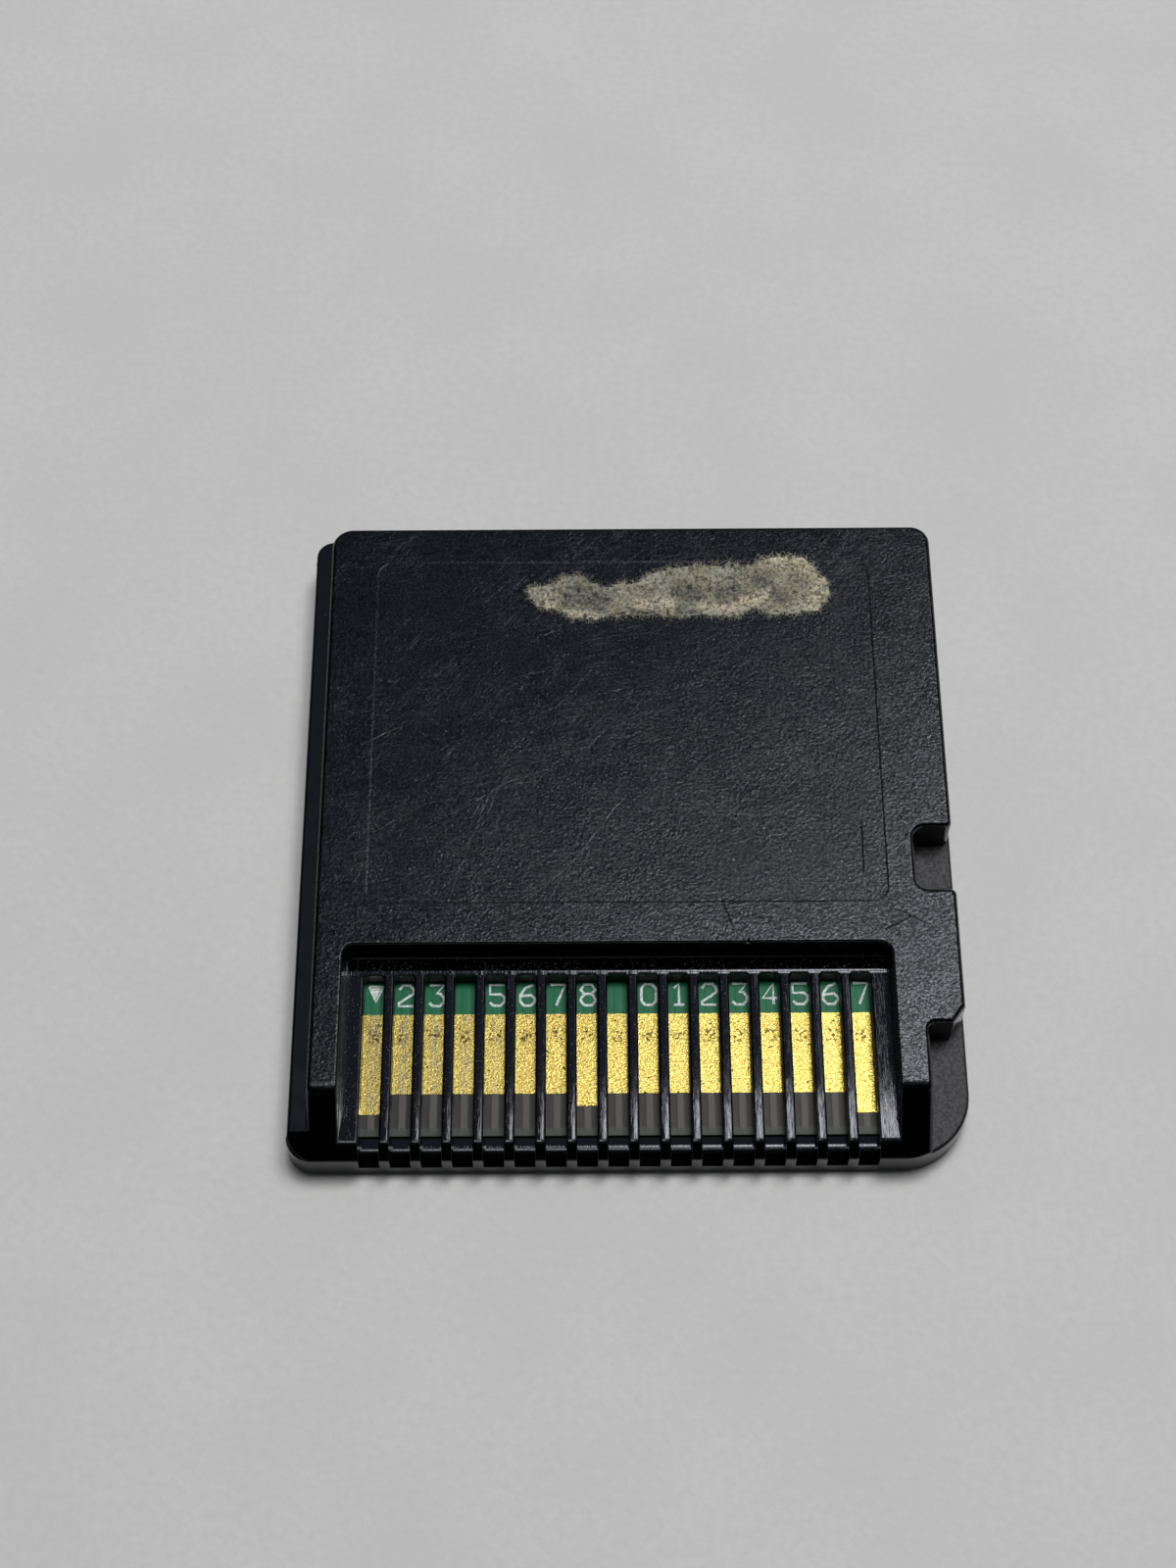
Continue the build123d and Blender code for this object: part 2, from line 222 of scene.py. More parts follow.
def table_paper():
    finish = Finish("table_paper")
    clouds = finish.noise(CLOUDS_PER_MM, 5)
    tooth = finish.noise(TOOTH_PER_MM, 3)
    shade = finish.ramp(finish.times(clouds, tooth), *TABLE_SPAN)
    finish.set(
        base_color=finish.blend(shade, TABLE_DARK, TABLE_LIGHT),
        roughness=0.6,
        normal=finish.bump(tooth, TOOTH_DEPTH),
    )
    return finish.material


bpy.ops.mesh.primitive_plane_add(size=FLOOR_SIZE, location=(0, 0, -FLOOR_GAP))
floor = bpy.context.object
floor.name = "floor"
floor.data.materials.append(table_paper())
print("floor lies", FLOOR_GAP / MM, "mm under the card")

# %% [markdown]
# The room is rebuilt from what the gloss mirrors. A small key panel hangs overhead, placed so that the
# polished rib tops mirror it only near their lower ends. A dimmer lamp, nearer and to the left, gives the
# rounded rib ends and lips their glints. A wide panel to the right acts like a window, so the satin back
# brightens to the right. A ceiling panel lights the table and every matte thing. It is kept out of
# reflections, because a card this black would mirror it all over.

# %% Light
# Each panel has its place, its width and depth in metres, and its power in watts.
PANELS = {
    "key_panel": ((0.082, 0.307, 1.0), (0.115, 0.16), 0.7),
    "lamp_panel": ((-0.055, 0.08, 1.0), (0.15, 0.2), 0.4),
    "window_panel": ((0.36, 0.37, 1.0), (0.32, 0.45), 2.25),
    "ceiling_panel": ((0.12, 0.26, 1.0), (0.5, 0.5), 7.5),
}
NOT_MIRRORED = "ceiling_panel"

for name, (place, size, power) in PANELS.items():
    panel = add_object(name, bpy.data.lights.new(name, "AREA"))
    panel.data.shape = "RECTANGLE"
    panel.data.size, panel.data.size_y = size
    panel.data.energy = power
    panel.location = place
    panel.visible_glossy = name != NOT_MIRRORED
    print(name, "shines with", power, "W")
bpy.context.scene.view_settings.view_transform = "Standard"

# %% [markdown]
# A room also has walls and a ceiling that shine faintly. An image of a room could stand for them, but two
# plain glows do: a bluish one high up on the far side, which the back face mirrors, and a plain low one all
# round, so that the form can be read from the other sides too.

# %% World
# Each reach is an axis of the direction, the value where the glow is dark and the value where it is full.
OVERHEAD_REACH = (("Z", 0.5, 1.0), ("Y", -0.4, 0.7), ("X", -0.4, -0.1))
OVERHEAD_LEVEL = 0.4
OVERHEAD_COLOUR = (0.77, 0.9, 1.2, 1)
HORIZON_REACH = (("Z", 0.45, 0.1),)
HORIZON_LEVEL = 0.4
HORIZON_COLOUR = (0.95, 0.98, 1.0, 1)


def studio_world():
    world = bpy.data.worlds.new("studio")
    world.use_nodes = True
    graph = Graph(world.node_tree)
    direction = graph.node("ShaderNodeTexCoord").outputs["Generated"]
    axes = graph.node("ShaderNodeSeparateXYZ", direction).outputs

    def glow(colour, level, reaches):
        for axis, dark, full in reaches:
            level = graph.add("ShaderNodeMapRange", axes[axis], dark, full, 0.0, level)
        return graph.add("ShaderNodeBackground", colour, level)

    overhead = glow(OVERHEAD_COLOUR, OVERHEAD_LEVEL, OVERHEAD_REACH)
    horizon = glow(HORIZON_COLOUR, HORIZON_LEVEL, HORIZON_REACH)
    graph.node("ShaderNodeOutputWorld", graph.add("ShaderNodeAddShader", overhead, horizon))
    return world


bpy.context.scene.world = studio_world()
print("world glows at", OVERHEAD_LEVEL, "overhead and", HORIZON_LEVEL, "low down")

# %% [markdown]
# Years of use left scratches. A scratch is a short stroke, so a node group measures how far each point lies
# from a stroke's line, and a material repeats that group for each stroke. A painted image would do as well
# from afar, but it has one resolution, and a stroke given by its two ends stays sharp at any distance.

# %% Scratch group
END_FADE = 0.1
WOBBLES_PER_MM = 0.3
WOBBLE = 0.7


def scratch_group():
    """Node group: 1 on a stroke from one point to another, fading over its width and towards its ends."""
    tree = bpy.data.node_groups.new("scratch", "ShaderNodeTree")
    for name, kind in (("Place", "Vector"), ("From", "Vector"), ("To", "Vector"), ("Width", "Float")):
        tree.interface.new_socket(name, in_out="INPUT", socket_type="NodeSocket" + kind)
    tree.interface.new_socket("Mask", in_out="OUTPUT", socket_type="NodeSocketFloat")
    graph = Graph(tree)
    entry = graph.node("NodeGroupInput").outputs
    flat = graph.vector("MULTIPLY", entry["Place"], (1, 1, 0))
    reach = graph.vector("SUBTRACT", flat, entry["From"])
    line = graph.vector("SUBTRACT", entry["To"], entry["From"])
    along = graph.vector("DOT_PRODUCT", reach, line)
    share = graph.math("DIVIDE", along, graph.vector("DOT_PRODUCT", line, line))
    share = graph.math("MAXIMUM", graph.math("MINIMUM", share, 1.0), 0.0)
    away = graph.vector("DISTANCE", reach, graph.vector("SCALE", line, share))
    near = graph.math("SUBTRACT", 1.0, graph.math("DIVIDE", away, entry["Width"]))
    near = graph.math("MAXIMUM", near, 0.0)
    ends = graph.math("MULTIPLY", share, graph.math("SUBTRACT", 1.0, share))
    ends = graph.math("MULTIPLY", graph.math("MINIMUM", ends, END_FADE), 1 / END_FADE)
    graph.node("NodeGroupOutput", graph.math("MULTIPLY", near, ends))
    return tree


SCRATCH = scratch_group()


def scratches(finish, strokes):
    """Mask of all the strokes, given as start, end and width in mm, drawn with a slight wobble."""
    wobble = finish.noise(WOBBLES_PER_MM, 1, output=1)
    wobble = finish.vector("SUBTRACT", wobble, (0.5, 0.5, 0.5))
    wobble = finish.vector("MULTIPLY", wobble, (WOBBLE, WOBBLE, 0))
    place = finish.vector("ADD", finish.place, wobble)
    masks = []
    for start, end, width in strokes:
        ends = ((*start, 0), (*end, 0))
        masks.append(finish.add("ShaderNodeGroup", place, *ends, width, node_tree=SCRATCH))
    return finish.most(*masks)


print("scratch group has", len(SCRATCH.nodes), "nodes")

# %% [markdown]
# The shells are moulded from infrared-pass plastic, which looks almost black with a breath of blue. The
# mould was grained on the back face and polished round the contacts. A material for each finish would mean
# parting the solids, which stay whole here. So one material serves both shells and changes by place. These
# are the places on the solids, in millimetres, where the finish changes, and the masks made from them.

# %% Places on the shells
BACK_FACE = 3.8
LEDGE = 2.15
SEAM = 1.65
RECESS_LEFT = -13.95
RECESS_RIGHT = 12.95
RECESS_EDGE = -7.0
SLOT_START = -7.95
RIB_END = -16.5
BEVEL_BREAK = -14.55
CONTACT_END = -17.5
STEP_WALL = -15.45
KEY_WALL = 14.51
LATCH_WALL = 14.41
INSERT_FLOOR = 3.77
INSERT_LEFT = -12.92
INSERT_RIGHT = 12.98
INSERT_NEAR = -4.8
INSERT_FAR = 15.3
INSERT_ROUND = 0.8
PITCH = 1.5
ROW_MIDDLE = -0.5
SLOT_HALF = 0.53
# A fade is where a mask is 0 and where it is 1. A band is its start, its end and how soft its borders are.
BACK_FADE = (BACK_FACE - 0.25, BACK_FACE - 0.1)
SLOT_FADE = (LEDGE - 0.15, LEDGE - 0.2)
COMB_ACROSS = (RECESS_LEFT, RECESS_RIGHT, 0.03)
COMB_ALONG = (CONTACT_END + 0.05, RECESS_EDGE, 0.03)
TOPS_UP = (LEDGE - 0.12, LEDGE + 0.02, 0.03)
BEVEL_ACROSS = (STEP_WALL, KEY_WALL, 0.03)
BEVEL_ALONG = (CONTACT_END + 0.05, BEVEL_BREAK - 0.3, 0.3)
FLANGE_FADE = (LATCH_WALL - 0.15, LATCH_WALL - 0.05)
FLANGE_UP = (SEAM - 0.01, SEAM + 0.02, 0.02)


def panel_edge(finish, x, y):
    """Distance outwards from the sunk panel's rounded border, in mm."""
    reaches = []
    for value, low, high in ((x, INSERT_LEFT, INSERT_RIGHT), (y, INSERT_NEAR, INSERT_FAR)):
        away = finish.math("ABSOLUTE", finish.math("SUBTRACT", value, (low + high) / 2))
        reach = finish.math("MAXIMUM", finish.math("SUBTRACT", away, (high - low) / 2 - INSERT_ROUND), 0.0)
        reaches.append(finish.math("POWER", reach, 2.0))
    corner = finish.math("SQRT", finish.math("ADD", *reaches))
    return finish.math("SUBTRACT", corner, INSERT_ROUND)


def across_slot(finish, x):
    """Distance in mm from the middle of the nearest slot, negative to its left."""
    slots = finish.math("DIVIDE", finish.math("SUBTRACT", x, ROW_MIDDLE), PITCH)
    nearest = finish.math("ROUND", slots)
    return finish.math("MULTIPLY", finish.math("SUBTRACT", slots, nearest), PITCH)


def shell_zones(finish):
    """Masks: grained back face, tops of ribs and ledge, all that is polished or matte, and the flange."""
    x, y, z = finish.split(finish.place)
    on_back = finish.ramp(z, *BACK_FADE)
    in_comb = finish.times(finish.band(x, *COMB_ACROSS), finish.band(y, *COMB_ALONG))
    on_tops = finish.times(in_comb, finish.band(z, *TOPS_UP))
    on_bevel = finish.times(finish.band(x, *BEVEL_ACROSS), finish.band(y, *BEVEL_ALONG))
    on_bevel = finish.times(on_bevel, finish.math("SUBTRACT", 1.0, on_back))
    in_slots = finish.times(in_comb, finish.ramp(z, *SLOT_FADE))
    in_slots = finish.times(in_slots, finish.math("SUBTRACT", 1.0, on_bevel))
    flange = finish.times(finish.ramp(x, *FLANGE_FADE), finish.band(z, *FLANGE_UP))
    return on_back, on_tops, finish.most(on_tops, on_bevel), finish.most(flange, in_slots), flange


print("panel in mm:", round(INSERT_RIGHT - INSERT_LEFT, 2), "by", round(INSERT_FAR - INSERT_NEAR, 2))

# %% [markdown]
# What use left on the back is placed where the real card has it: pale scratches, two dotted marks
# where something hard chattered over the plastic, and a few dark grooves. Between them lie hairlines, too
# fine and too many to place one by one, so noise that is stretched along three directions stands for them.

# %% Wear on the shells
LIGHT_SCRATCHES = (
    ((-4.8, -4.6), (-2.4, -2.3), 0.04),
    ((-2.5, -2.4), (-0.3, 0.8), 0.036),
    ((-8.7, 0.2), (-5.6, 2.1), 0.032),
    ((-5.8, 2.0), (-3.1, 3.0), 0.032),
    ((-13.7, 4.1), (-11.2, 5.2), 0.032),
    ((-12.8, -0.9), (-9.9, 0.9), 0.028),
    ((-5.6, 1.9), (-4.5, 2.1), 0.036),
    ((-4.2, 10.7), (-3.25, 11.2), 0.036),
    ((7.2, 8.8), (8.7, 8.2), 0.028),
    ((13.1, 7.0), (14.5, 6.9), 0.036),
    ((8.1, -3.5), (9.0, -4.1), 0.036),
    ((-8.9, -4.8), (-7.3, -0.3), 0.025),
    ((-7.8, -0.1), (-7.2, 1.1), 0.028),
    ((-7.4, 0.0), (-6.8, 1.4), 0.028),
    ((-7.0, 0.2), (-6.4, 1.6), 0.028),
)
CHATTER_MARKS = (
    ((3.7, -5.9), (6.0, -7.0), 0.22),
    ((12.8, -10.5), (14.7, -11.2), 0.2),
)
DARK_SCRATCHES = (
    ((4.7, -4.5), (5.2, -6.2), 0.06),
    ((11.9, -0.1), (11.6, -3.4), 0.05),
    ((13.2, -5.2), (14.8, -6.0), 0.06),
    ((12.6, -6.4), (14.2, -5.5), 0.05),
    ((-12.8, 7.9), (-11.6, 7.8), 0.2),
)
FADES_PER_MM = 1.5
NICKS_PER_MM = 3.6
NICK_DEPTH = 0.7
HAIRLINE_TURNS = (50, -35, 12)
HAIRLINE_STRETCH = (2.0, 0.04, 1)
HAIRLINE_SHARE = 0.2
PATCHES_PER_MM = 0.3
PATCH_STRETCH = (1.5, 1, 1)


def hairlines(finish, degrees):
    """Fine broken streaks that all run one way."""
    streaks = finish.noise(1.0, 2, finish.turned(degrees, HAIRLINE_STRETCH))
    patches = finish.noise(PATCHES_PER_MM, 3, finish.turned(degrees, PATCH_STRETCH))
    return finish.times(finish.ramp(streaks, 0.62, 0.74), finish.ramp(patches, 0.42, 0.62))


def shell_wear(finish, x, on_back):
    """Masks of the pale marks and of the dark grooves on the back face."""
    faded = finish.ramp(finish.noise(FADES_PER_MM, 2), 0.35, 0.6, 0.25, 1.0)
    marks = finish.times(scratches(finish, LIGHT_SCRATCHES), faded)
    nicks = finish.math("SINE", finish.times(x, NICKS_PER_MM * math.tau))
    nicks = finish.ramp(nicks, 0.2, 0.9, 0.0, NICK_DEPTH)
    marks = finish.most(marks, finish.times(scratches(finish, CHATTER_MARKS), nicks))
    streaks = finish.most(*[hairlines(finish, degrees) for degrees in HAIRLINE_TURNS])
    worn = finish.times(finish.most(marks, finish.times(streaks, HAIRLINE_SHARE)), on_back)
    return worn, finish.times(scratches(finish, DARK_SCRATCHES), on_back)


print("scratches on the back:", len(LIGHT_SCRATCHES) + len(CHATTER_MARKS) + len(DARK_SCRATCHES))

# %% [markdown]
# The plastic has a leather grain on the back and finger smears that vary its gloss. Moulded edges are never
# quite sharp, so the Bevel node rounds the light on them. The ledge, the ribs and the border of the sunk
# panel are slightly rounded too, by far less than a tenth of a millimetre. That could be modelled, but a
# bump in the material shows it as well and leaves the solids as they are.

# %% Shell plastic
GRAIN_PER_MM = 6.5
FINE_GRAIN_PER_MM = 14.0
FINE_GRAIN_SHARE = 0.5
GRAIN_DEPTH = 0.013
SPECKLES_PER_MM = 8.0
SPECKLE_RANGE = (0.2, 0.8)
SMEARS_PER_MM = 0.9
SATIN_ROUGHNESS = (0.12, 0.19)
POLISHED_ROUGHNESS = (0.03, 0.06)
MATTE_ROUGHNESS = 0.5
BRUSHED_STRETCH = (0.05, 1.2, 1)
BRUSHED_DEPTH = 0.004
EDGE_RADIUS = 0.06
EDGE_SAMPLES = 6
BORDER_SPAN = (-0.06, 0.045)
BORDER_DEPTH = 0.014
LEDGE_NEAR_ROUND = 0.22
LEDGE_FAR_ROUND = 0.12
LEDGE_DEPTH = 0.015
RIBS_ACROSS = (-12.3, 11.3, 0.1)
RIB_ROUNDS_OFF = (RIB_END + 2.0, RIB_END + 0.2)
RIB_CROWN = (0.3, 0.6)
RIB_DEPTH = 0.009
PLASTIC = (0.0008, 0.0009, 0.0011, 1)
PLASTIC_SHEEN = (0.95, 0.98, 1.05, 1)
SCRATCHED_PLASTIC = (0.045, 0.045, 0.05, 1)
DUSTY_DARK = (0.018, 0.017, 0.017, 1)
DUSTY_LIGHT = (0.055, 0.053, 0.052, 1)


def shell_forms(finish, x, y, on_back, on_tops):
    """Normal with rounded edges, the panel's border, and the crowns of the ledge and the ribs."""
    rounded = finish.add("ShaderNodeBevel", EDGE_RADIUS * MM, samples=EDGE_SAMPLES)
    border = finish.times(finish.ramp(panel_edge(finish, x, y), *BORDER_SPAN), on_back)
    normal = finish.bump(border, BORDER_DEPTH, rounded)
    near_crown = finish.ramp(y, SLOT_START, SLOT_START + LEDGE_NEAR_ROUND)
    far_crown = finish.ramp(y, RECESS_EDGE - LEDGE_FAR_ROUND, RECESS_EDGE)
    crown = finish.math("ADD", near_crown, far_crown)
    normal = finish.bump(finish.times(crown, on_tops), LEDGE_DEPTH, normal)
    rib = finish.ramp(finish.math("ABSOLUTE", across_slot(finish, x)), SLOT_HALF, PITCH / 2)
    rounder = finish.ramp(y, *RIB_ROUNDS_OFF, *RIB_CROWN)
    rib = finish.times(rib, rounder, on_tops, finish.band(x, *RIBS_ACROSS))
    return finish.bump(rib, RIB_DEPTH, normal)


def shell_plastic():
    finish = Finish("shell_plastic")
    x, y = finish.split(finish.place)[:2]
    on_back, on_tops, shiny, matte, flange = shell_zones(finish)
    worn, grooves = shell_wear(finish, x, on_back)
    leather = finish.noise(GRAIN_PER_MM, 2)
    fine_grain = finish.times(finish.noise(FINE_GRAIN_PER_MM, 2), FINE_GRAIN_SHARE)
    grain = finish.times(finish.math("ADD", leather, fine_grain), finish.most(on_back, flange))
    brushed = finish.noise(1.0, 2, finish.turned(0, BRUSHED_STRETCH))
    normal = shell_forms(finish, x, y, on_back, on_tops)
    normal = finish.bump(finish.times(brushed, shiny), BRUSHED_DEPTH, normal)
    relief = finish.math("SUBTRACT", grain, finish.math("ADD", worn, grooves))
    smears = finish.noise(SMEARS_PER_MM, 5)
    satin = finish.ramp(smears, *NOISE_SPAN, *SATIN_ROUGHNESS)
    polished = finish.ramp(smears, *NOISE_SPAN, *POLISHED_ROUGHNESS)
    speckle = finish.ramp(finish.noise(SPECKLES_PER_MM, 3), *NOISE_SPAN, *SPECKLE_RANGE)
    dusty = finish.blend(finish.ramp(leather, 0.35, 0.65), DUSTY_DARK, DUSTY_LIGHT)
    plain = finish.blend(flange, PLASTIC, dusty)
    finish.set(
        base_color=finish.blend(worn, plain, SCRATCHED_PLASTIC),
        roughness=finish.mix(matte, finish.mix(shiny, satin, polished), MATTE_ROUGHNESS),
        specular_ior_level=finish.mix(on_back, 0.5, speckle),
        specular_tint=PLASTIC_SHEEN,
        normal=finish.bump(relief, GRAIN_DEPTH, normal),
    )
    return finish.material


plastic = shell_plastic()
coat(plastic, "front_shell", "back_shell")
print("shell plastic has", len(plastic.node_tree.nodes), "nodes")

# %% [markdown]
# The circuit board shows only in the slots. Behind the pads it has green solder mask, before them the
# laminate is bare, with the faint ridge of a plating trace under its resin. Both are colours by place along
# the board, so the pads' own boxes tell where one ends and the next begins.

# %% Board laminate
PAD_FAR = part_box("contact_pad_02")[1].y / MM
BOARD_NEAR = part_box("circuit_board")[0].y / MM
BOARD_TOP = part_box("circuit_board")[1].z / MM
MASK_EDGE = (PAD_FAR - 0.15, PAD_FAR - 0.1)
MASK_DARK = (0.011, 0.1, 0.043, 1)
MASK_LIGHT = (0.02, 0.16, 0.075, 1)
MASK_CLOUDS_PER_MM = 1.1
WEAVE_PER_MM = 6.0
WEAVE_STRETCH = (1, 3, 1)
WEAVE_DEPTH = 0.008
RESIN_DARK = (0.025, 0.022, 0.019, 1)
RESIN_LIGHT = (0.05, 0.046, 0.04, 1)
TRACE_ACROSS = (-0.1, 0.12, 0.1)
TRACE_FADE = (-15.9, -15.6)
TRACE_SHARE = 0.6
TRACE_COLOUR = (0.12, 0.11, 0.1, 1)
BOARD_END_FADE = (BOARD_NEAR + 0.45, BOARD_NEAR + 0.35)
END_SHARE = 0.7
END_COLOUR = (0.055, 0.07, 0.055, 1)


def board_laminate():
    finish = Finish("board_laminate")
    x, y = finish.split(finish.place)[:2]
    mask_paint = finish.blend(finish.noise(MASK_CLOUDS_PER_MM, 4), MASK_DARK, MASK_LIGHT)
    weave = finish.noise(WEAVE_PER_MM, 2, finish.turned(0, WEAVE_STRETCH))
    resin = finish.blend(weave, RESIN_DARK, RESIN_LIGHT)
    trace = finish.band(across_slot(finish, x), *TRACE_ACROSS)
    trace = finish.times(trace, finish.ramp(y, *TRACE_FADE))
    resin = finish.blend(finish.times(trace, TRACE_SHARE), resin, TRACE_COLOUR)
    resin = finish.blend(finish.times(finish.ramp(y, *BOARD_END_FADE), END_SHARE), resin, END_COLOUR)
    finish.set(
        base_color=finish.blend(finish.ramp(y, *MASK_EDGE), resin, mask_paint),
        roughness=0.32,
        specular_ior_level=0.2,
        normal=finish.bump(finish.math("ADD", weave, trace), WEAVE_DEPTH),
    )
    return finish.material


coat(board_laminate(), "circuit_board")
print("solder mask ends at", round(PAD_FAR, 2), "mm, board at", round(BOARD_NEAR, 2), "mm")

# %% [markdown]
# The gold is plated on rough copper, so each pad glitters: tiny facets tilt the mirror this way and that.
# Use has pitted it, most where springs touch it, and scraped grey lines down the middle of the left pads.
# A bump of two sizes of noise makes the facets, and masks across the slot and along the row place the wear.

# %% Contact gold
PADS = sorted(name for name in nodes if name.startswith("contact_pad"))
GOLD_DARK = (0.4, 0.29, 0.055, 1)
GOLD_LIGHT = (0.76, 0.6, 0.18, 1)
GOLD_GRAIN_PER_MM = 16.0
GOLD_GRAIN_SHARE = 0.6
CLUMPS_PER_MM = 8.5
CLUMP_SHARE = 0.8
FACET_DEPTH = 0.01
GOLD_ROUGHNESS = (0.2, 0.34)
SCRAPED_FADE = (-4.0, -9.0)
SCRAPED_ACROSS = (-0.12, 0.16, 0.2)
SCRAPED_STRETCH = (0.09, 0.6, 1)
SCRAPED_SHARE = 0.7
SCRAPED_COLOUR = (0.3, 0.26, 0.2, 1)
PITS_PER_MM = 5.0
TOUCH_ALONG = (-11.1, -10.65, 0.25)
TOUCH_ACROSS = (-0.25, 0.25, 0.1)
TOUCH_PITS_PER_MM = 5.5
PIT_COLOUR = (0.05, 0.035, 0.015, 1)


def pad_pits(finish, y, offset):
    """Mask of the pits, which crowd together where the springs touch."""
    pits = finish.ramp(finish.noise(PITS_PER_MM, 1), 0.69, 0.75)
    touched = finish.times(finish.band(y, *TOUCH_ALONG), finish.band(offset, *TOUCH_ACROSS))
    crowded = finish.ramp(finish.noise(TOUCH_PITS_PER_MM, 2), 0.5, 0.58, 0.0, 0.9)
    return finish.most(pits, finish.times(touched, crowded))


def contact_gold():
    finish = Finish("contact_gold")
    x, y = finish.split(finish.place)[:2]
    offset = across_slot(finish, x)
    grain = finish.noise(GOLD_GRAIN_PER_MM, 3)
    clumps = finish.noise(CLUMPS_PER_MM, 2)
    gold = finish.blend(finish.ramp(grain, 0.38, 0.62), GOLD_DARK, GOLD_LIGHT)
    streaks = finish.ramp(finish.noise(1.0, 3, finish.turned(0, SCRAPED_STRETCH)), 0.4, 0.62)
    scraped = finish.times(finish.band(offset, *SCRAPED_ACROSS), streaks)
    scraped = finish.times(scraped, finish.ramp(x, *SCRAPED_FADE), SCRAPED_SHARE)
    gold = finish.blend(scraped, gold, SCRAPED_COLOUR)
    facets = (finish.times(grain, GOLD_GRAIN_SHARE), finish.times(clumps, CLUMP_SHARE))
    finish.set(
        base_color=finish.blend(pad_pits(finish, y, offset), gold, PIT_COLOUR),
        metallic=1.0,
        roughness=finish.ramp(clumps, *NOISE_SPAN, *GOLD_ROUGHNESS),
        normal=finish.bump(finish.math("ADD", *facets), FACET_DEPTH),
    )
    return finish.material


coat(contact_gold(), *PADS)
print("gold pads:", len(PADS))

# %% [markdown]
# Strokes of ink, paper fibres and dust grains repeat by the hundred. Each could be modelled and copied by
# hand, but a Geometry Nodes tree describes one and repeats it by rule, with sizes that have names. This
# helper builds such a tree, and turns its result into a plain mesh that rides with the card.

# %% Helper for Geometry Nodes
CLOSED_ENDS = True


class Recipe(Graph):
    """A Geometry Nodes tree with named inputs, whose result takes one material."""

    def __init__(self, name, material, **sizes):
        super().__init__(bpy.data.node_groups.new(name, "GeometryNodeTree"))
        face = self.tree.interface
        face.new_socket("Geometry", in_out="INPUT", socket_type="NodeSocketGeometry")
        face.new_socket("Geometry", in_out="OUTPUT", socket_type="NodeSocketGeometry")
        for label, value in sizes.items():
            kind = "NodeSocketInt" if isinstance(value, int) else "NodeSocketFloat"
            face.new_socket(label, in_out="INPUT", socket_type=kind)
        self.sizes = sizes
        self.material = material
        self.entry = self.node("NodeGroupInput").outputs

    def upright(self, height):
        return self.add("ShaderNodeCombineXYZ", 0.0, 0.0, height)

    def random(self, low, high):
        return self.add("FunctionNodeRandomValue", low, high, None, self.entry["seed"])

    def scatter(self, chosen, piece, scale):
        """Sets a piece on chosen faces of the source, each turned at random about the upright axis."""
        spread = (chosen, self.entry["density"], self.entry["seed"])
        points = self.add("GeometryNodeDistributePointsOnFaces", self.entry["Geometry"], *spread)
        turn = self.add("FunctionNodeEulerToRotation", self.upright(self.random(0.0, math.tau)))
        return self.add("GeometryNodeInstanceOnPoints", points, None, piece, None, None, turn, scale)

    def close(self, geometry):
        real = self.add("GeometryNodeRealizeInstances", geometry)
        self.node("NodeGroupOutput", self.add("GeometryNodeSetMaterial", real, None, self.material))

    def grow(self, source, name):
        """Runs the tree on a source object and returns the result as a plain mesh piece."""
        modifier = source.modifiers.new(self.tree.name, "NODES")
        modifier.node_group = self.tree
        for item in self.tree.interface.items_tree:
            if item.in_out == "INPUT" and item.name in self.sizes:
                modifier[item.identifier] = self.sizes[item.name]
        evaluated = source.evaluated_get(bpy.context.evaluated_depsgraph_get())
        mesh = bpy.data.meshes.new_from_object(evaluated)
        source.modifiers.remove(modifier)
        bpy.data.objects.remove(source)
        mesh.name = name
        piece = add_object(name, mesh)
        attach(piece, "root")
        return piece


print("geometry helper ready")

# %% [markdown]
# The board carries white printed marks in the slots: a triangle at the first contact and plain counting
# numbers, drawn as thin strokes. A Text object would do, but its letters are filled shapes with a
# typeface of their own. Here each mark is a path, and Geometry Nodes run a small round profile along the
# paths and then press the result flat to the thickness of ink.

# %% Printed marks
MARK_WIDTH = 0.72
MARK_HEIGHT = 1.12
MARK_FOOT = -9.22
MARK_SHIFT = 0.06
INK_LINE = 0.155 * MM
INK_THICKNESS = 0.01 * MM
PROFILE_SIDES = 8
